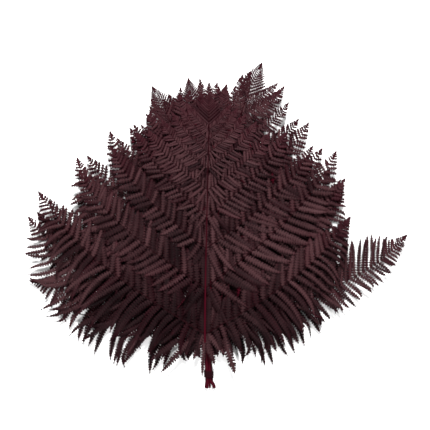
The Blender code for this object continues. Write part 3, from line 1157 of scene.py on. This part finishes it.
        # Painted shade: leaflets of the lower fronds are painted darker near the middle, where the
        # fronds above shade them. Leaflets are also darker towards the foot and lighter towards
        # the sides.
        here, heading = self.at(distance)
        out = smooth((math.hypot(*here) - 90.0) / 90.0)
        aside = smooth((abs(here[0]) - 70.0) / 90.0)
        foot_dark = self.foot_darkening * smooth((-here[1] - 20.0) / 90.0)
        painted_shade_and_drift = self.painted_layer_shade * (1.0 - out) + foot_dark * (1.0 - 0.5 * aside) - self.side_lightening * aside
        lean = angle + rng.normal(0.0, self.lean_play) + (24.0 * (1.0 - grown) if lower else 0.0)
        turn, hook = rng.uniform(4.0, 12.0), rng.normal(0.0, 5.0)
        if sweeping:
            turn = rng.uniform(*self.sway) * smooth((left - 12.0) / 60.0)
            if rng.random() < self.hooked_share:
                hook = rng.uniform(*self.hooked) * (1 if rng.random() < 0.4 else -1)
        twist = rng.normal(0.0, self.twist_play)
        if rng.random() < self.curled_share:
            twist = rng.uniform(*self.curled) * rng.choice((-1, 1))
        fill = self.blade_fill + (self.tip_fill - self.blade_fill) * math.exp(-left / 22.0)
        return Leaflet(
            here, heading + lean * out_side, long * rng.uniform(0.92, 1.06),
            gap * math.sin(math.radians(angle)) * (0.86 if sweeping else 1.0)
            / self.close ** 0.35 * fill,
            polar(heading + 90.0 * out_side), -out_side, self.level,
            lift=self.tilt * (1.0 if lower else -1.0), turn=turn, hook=hook,
            droop=rng.uniform(-0.004, 0.012), roll=rng.normal(0.0, self.roll_play), twist=twist,
            tone=float(np.clip(leaf_tone - painted_shade_and_drift + rng.normal(0.0, self.tone_play), 0.0, 1.0)),
            red=0.6 * math.exp(-left / 35.0) + float(np.clip(rng.normal(0.0, 0.12), 0.0, 0.5)),
        )


@dataclass
class Frond:
    """One frond of the stack: stalk and main rib, nine pairs of leaves and a pointed end."""

    plan: FrondPlan
    stack: Stack
    bundle: Bundle
    blade: bpy.types.Material
    rind: bpy.types.Material
    pair_ratio: float = 0.80
    pair_count: int = 9
    lean_step: float = 1.6
    tile_step: float = 1.2
    steepest_tile: float = 0.15
    rib_share: float = 0.865
    rib_top: float = 0.985
    rib_rings: int = 60
    stalk_rings: int = 34
    girth_play: float = 0.025
    grounded: tuple[float, float] = (-125.0, 75.0)
    # Painted shade of the fronds above, for each layer, lowest first.
    painted_layer_shades: tuple[float, ...] = (0.60, 0.50, 0.35, 0.20, 0.0)
    leaf_turns: tuple[float, float] = (9.0, -22.0)
    lowest_stretch: tuple[float, float] = (0.35, 0.0)
    lowest_sway: tuple[float, float] = (-55.0, -15.0)
    end_angle: float = 50.0
    end_reach: float = 0.60
    end_long: float = 11.0
    end_half: float = 1.7
    seed: int = 4

    def __post_init__(self) -> None:
        """Lay the main rib."""
        plan = self.plan
        self.foot, self.tip = np.array(plan.foot), np.array(plan.tip)
        self.length = math.dist(plan.foot, plan.tip)
        self.level = self.stack.level(plan.layer)
        self.rng = np.random.default_rng(self.seed * 100 + plan.layer)
        self.first = self.foot + np.array((plan.bow, 0.3 * self.length))
        self.last = self.tip - 0.3 * self.length * polar(plan.heading)
        self.blades, self.veins = MeshStore(), MeshStore()

    def rib(self, t: float) -> np.ndarray:
        """Give a place on the main rib, at a share of its length above the foot."""
        s = 1.0 - t
        return (
            s ** 3 * self.foot + 3 * s * s * t * self.first + 3 * s * t * t * self.last
            + t ** 3 * self.tip
        )

    def add_stalk(self) -> None:
        """Add the stalk and the main rib as one rod."""
        plan, bundle = self.plan, self.bundle
        seat_up = bundle.height + plan.seat[1] * bundle.rise
        path, radii = [], []
        for y in np.linspace(plan.end[1], plan.foot[1] - 3.0, self.stalk_rings):
            free = float(smooth((bundle.free_from - y) / 11.0))
            seated = bundle.centre(y) + plan.seat[0] * bundle.pitch
            firm = float(smooth((bundle.top - y) / (bundle.top - bundle.firm)))
            x = plan.foot[0] + (seated - plan.foot[0]) * firm
            x += (plan.end[0] - x) * free
            high = float(self.stack.height(np.array(x), np.array(y), self.level))
            path.append((x, y, high + (seat_up - high) * firm))
            radii.append(bundle.stalk_radius)
        taper = bundle.rib_tip_radius - bundle.stalk_radius
        for t in np.linspace(0.0, self.rib_top, self.rib_rings):
            x, y = self.rib(t)
            radius = bundle.stalk_radius + taper * min(1.0, t / self.rib_share) ** 0.9
            if t > self.rib_share:
                radius *= 1.0 - 0.6 * (t - self.rib_share) / (1.0 - self.rib_share)
            path.append((x, y, float(self.stack.height(np.array(x), np.array(y), self.level))))
            radii.append(radius)
        path, radii = np.array(path), np.array(radii)
        if plan.layer == 0:
            grounded = (path[:, 1] > self.grounded[0]) & (path[:, 1] < self.grounded[1])
            path[grounded, 2] = radii[grounded]
        girth = 1.0 + self.rng.normal(0.0, self.girth_play, len(radii))
        Rod(sides=14, groove=0.16).add(
            self.veins, path, radii * girth, floor=0.0,
            tone=1.0 - 0.7 * smooth((path[:, 1] + 120.0) / 220.0),
        )

    def add_leaves(self) -> None:
        """Add the pairs of side leaves, lowest first."""
        for pair in range(self.pair_count):
            t = 1.0 - self.pair_ratio ** pair
            base = self.rib(t)
            heading = heading_of(self.rib(t - 0.01), self.rib(t + 0.01))
            share = self.pair_ratio ** pair
            size = self.plan.reach * self.length * share
            lean = self.plan.angle - self.lean_step * pair - (3.0 if pair else 0.0)
            tilt = min(self.steepest_tile, self.tile_step / (0.153 * self.length * share))
            for side in Side:
                key = ("L" if side is Side.LEFT else "R") + str(pair + 1)
                tip = base + polar(heading + side.value * lean) * size
                SideLeaf(
                    self.stack, base, np.array(self.plan.tips.get(key, tip)), side, self.level,
                    tilt, pair == 0, self.rng, painted_layer_shade=self.painted_layer_shades[self.plan.layer],
                    turns=self.plan.turns.get(key, self.leaf_turns),
                    lower_share=self.plan.lower_share.get(key, 1.0),
                    stretch=self.plan.stretch.get(
                        key, self.lowest_stretch if pair == 0 else (0.0, 0.0)),
                    sway=self.plan.sway.get(key, self.lowest_sway),
                    close=self.plan.close.get(key, 1.0),
                ).add(self.blades, self.veins)

    def add_end(self) -> None:
        """Add the pointed end of the frond, leaflets in pairs that shrink to the tip."""
        rng = self.rng
        start = self.rib(self.rib_share - 0.008)
        length = math.dist(start, self.tip)
        heading = heading_of(start, self.tip)
        way = polar(heading)
        for side in (1, -1):
            distance = 0.5
            while length - distance > 1.2:
                left = length - distance
                gap = 0.09 * left + 1.2
                Leaflet(
                    start + way * distance, heading + self.end_angle * side,
                    max(1.4, self.end_reach * left * rng.uniform(0.94, 1.04)), 0.37 * gap,
                    polar(heading + 90.0 * side), -side, self.level,
                    roll=rng.normal(0.0, 4.0), tone=rng.uniform(0.2, 0.7), red=0.4,
                ).add(self.blades, self.stack, rng)
                distance += gap
        Leaflet(
            self.tip - way * self.end_long, heading, self.end_long, self.end_half, way, 1,
            self.level, turn=0.0, tone=0.4, red=0.5,
        ).add(self.blades, self.stack, rng)

    def add_hanging(self) -> None:
        """Add the single leaflets that hang down beside the stalks."""
        for x, y, tip_x, tip_y, half in self.plan.hanging:
            start, tip = np.array((x, y)), np.array((tip_x, tip_y))
            heading = heading_of(start, tip)
            Leaflet(
                start, heading, math.dist(start, tip), half, polar(heading), 1, self.level,
                turn=0.0, roll=self.rng.normal(0.0, 8.0), tone=self.rng.uniform(0.2, 0.6),
            ).add(self.blades, self.stack, self.rng)

    def build(self) -> list[bpy.types.Object]:
        """Build the frond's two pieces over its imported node.

        Returns:
            Leaflets and stalks.
        """
        self.add_stalk()
        self.add_leaves()
        self.add_end()
        self.add_hanging()
        name = self.plan.name
        leaflets = self.blades.build(name + "_leaflets", self.blade)
        stalks = self.veins.build(name + "_stalks", self.rind)
        for piece, slot in ((leaflets, "leaflets"), (stalks, "stalks")):
            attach(piece, BODY)
            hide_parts(name)
        return [leaflets, stalks]


@dataclass
class WoundBand:
    """The elastic band wound round the stalks, one long flat loop in several turns.

    Sizes in millimetres. Each turn laps a little over the one before it."""

    bundle: Bundle
    rubber: bpy.types.Material
    start_y: float = -194.2
    turns: int = 3
    turn_pitch: float = 3.0
    strap_half: float = 1.75
    strap_thick: float = 1.05
    clear: float = 0.35
    around: int = 44
    sway: float = 0.10
    sway_marks: int = 14
    seed: int = 8
    # Points across the strap, as shares of its half width and of its thickness.
    profile: tuple[tuple[float, float], ...] = (
        (-1.0, 0.25), (-0.86, 0.86), (-0.4, 1.0), (0.0, 1.04), (0.4, 1.0), (0.86, 0.86),
        (1.0, 0.25), (0.8, 0.0), (0.0, 0.0), (-0.8, 0.0),
    )

    def outline(self, angle: float) -> tuple[float, float, float, float]:
        """Find the bundle's rounded outline.

        Args:
            angle: Direction round the bundle, in degrees, from straight to the right.

        Returns:
            The stalk's middle there, across and up, and the unit direction out.
        """
        angle = (angle + 90.0) % 360.0 - 90.0
        pitch, rise = self.bundle.pitch, self.bundle.rise
        corners = (
            (-90.0, 30.0, pitch, 0.0), (30.0, 90.0, 0.5 * pitch, rise),
            (90.0, 150.0, -0.5 * pitch, rise), (150.0, 270.0, -pitch, 0.0),
        )
        for begin, finish, across, up in corners:
            if begin <= angle < finish:
                return (across, self.bundle.height + up, math.cos(math.radians(angle)),
                        math.sin(math.radians(angle)))
        return (pitch, self.bundle.height, 1.0, 0.0)

    def build(self) -> bpy.types.Object:
        """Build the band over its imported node.

        Returns:
            The band.
        """
        inner = self.bundle.corner_radius + self.clear
        steps = self.turns * self.around
        rings = []
        sway = np.interp(
            np.arange(steps + 1), np.linspace(0, steps, self.sway_marks),
            np.random.default_rng(self.seed).normal(0, self.sway, self.sway_marks),
        )
        for step in range(steps + 1):
            turn = step / self.around
            across, up, c, s = self.outline(-90.0 + 360.0 * turn)
            y = self.start_y + self.strap_half * 0.5 + turn * self.turn_pitch + sway[step]
            for wide, high in self.profile:
                reach = inner + high * self.strap_thick
                rings.append((
                    self.bundle.centre(y) + across + c * reach,
                    y + wide * self.strap_half, up + s * reach,
                ))
        size, count = len(self.profile), steps + 1
        low, low_next = tube_walls(count, size)
        cap, back = np.arange(1, size - 1), (count - 1) * size
        faces = np.concatenate((
            np.stack((low, low + size, low_next + size), axis=1),
            np.stack((low, low_next + size, low_next), axis=1),
            np.stack((np.zeros_like(cap), cap, cap + 1), axis=1),
            np.stack((np.full_like(cap, back), back + cap + 1, back + cap), axis=1),
        ))
        store = MeshStore()
        store.add(np.array(rings), faces, True)
        piece = store.build("tie_band", self.rubber)
        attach(piece, BODY)
        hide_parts("tie")
        return piece


@dataclass
class Studio:
    """Plain white card, soft lights from beyond the tips and the foot, and the camera.

    The middle of the view and its width are in millimetres, at half the stack's height; the
    card and the lights are in metres."""

    middle_x: float = 9.8
    middle_y: float = 35.0
    middle_z: float = 12.0
    view_width: float = 602.0
    lens: float = 100.0
    sensor: float = 36.0
    room_light: float = 0.30
    card_half: float = 4.0
    card_top: float = -0.0003
    softbox_size: float = 0.5
    aim_at: tuple[float, float, float] = (0.0, 0.02, 0.0)
    # The name, power and place of each light.
    softboxes: tuple[tuple[str, float, tuple[float, float, float]], ...] = (
        ("key_softbox", 193.0, (0.15, 1.80, 2.00)), ("fill_softbox", 52.0, (-0.35, -1.5, 2.1)),
    )

    def build(self) -> None:
        """Place card, lights and camera."""
        scene = bpy.context.scene
        self.lay_card()
        world = bpy.data.worlds.new("pale_room")
        world.use_nodes = True
        sky = world.node_tree.nodes["Background"].inputs
        sky["Color"].default_value = (1.0, 1.0, 1.0, 1.0)
        sky["Strength"].default_value = self.room_light
        scene.world = world
        for name, power, place in self.softboxes:
            light = bpy.data.lights.new(name, "AREA")
            light.shape = "DISK"
            light.size = self.softbox_size
            light.energy = power
            softbox = bpy.data.objects.new(name, light)
            softbox.location = place
            scene.collection.objects.link(softbox)
            way = Vector(self.aim_at) - softbox.location
            softbox.rotation_euler = way.to_track_quat("-Z", "Y").to_euler()
        camera = bpy.data.cameras.new("camera")
        camera.lens = self.lens
        camera.sensor_width = self.sensor
        camera_object = bpy.data.objects.new("camera", camera)
        away = self.view_width * self.lens / self.sensor
        camera_object.location = (
            self.middle_x * MM, self.middle_y * MM, (away + self.middle_z) * MM,
        )
        scene.collection.objects.link(camera_object)
        scene.camera = camera_object
        scene.view_settings.view_transform = "Standard"

    def lay_card(self) -> None:
        """Lay the white card that the bunch lies on."""
        mesh = bpy.data.meshes.new("card_floor")
        reach = self.card_half
        corners = ((-reach, -reach), (reach, -reach), (reach, reach), (-reach, reach))
        mesh.from_pydata([(x, y, self.card_top) for x, y in corners], [], [(0, 1, 2, 3)])
        mesh.materials.append(CardFloor("matt_white_card").build())
        card = bpy.data.objects.new("card_floor", mesh)
        bpy.context.scene.collection.objects.link(card)


def main() -> None:
    """Build the studio, the five fronds from the lowest up, and the band."""
    logging.basicConfig(level=logging.INFO, format="%(message)s")
    Studio().build()
    stack, bundle = Stack(), Bundle()
    blade = PreservedBlade("glycerine_preserved_leaf").build()
    rind = DyedRind("dyed_stalk_rind").build()
    for plan in PLANS:
        for piece in Frond(plan, stack, bundle, blade, rind).build():
            log.info("%s: %d triangles", piece.name, len(piece.data.polygons))
    band = WoundBand(bundle, BandRubber("wound_rubber_band").build()).build()
    log.info("%s: %d triangles", band.name, len(band.data.polygons))


if __name__ == "__main__":
    main()
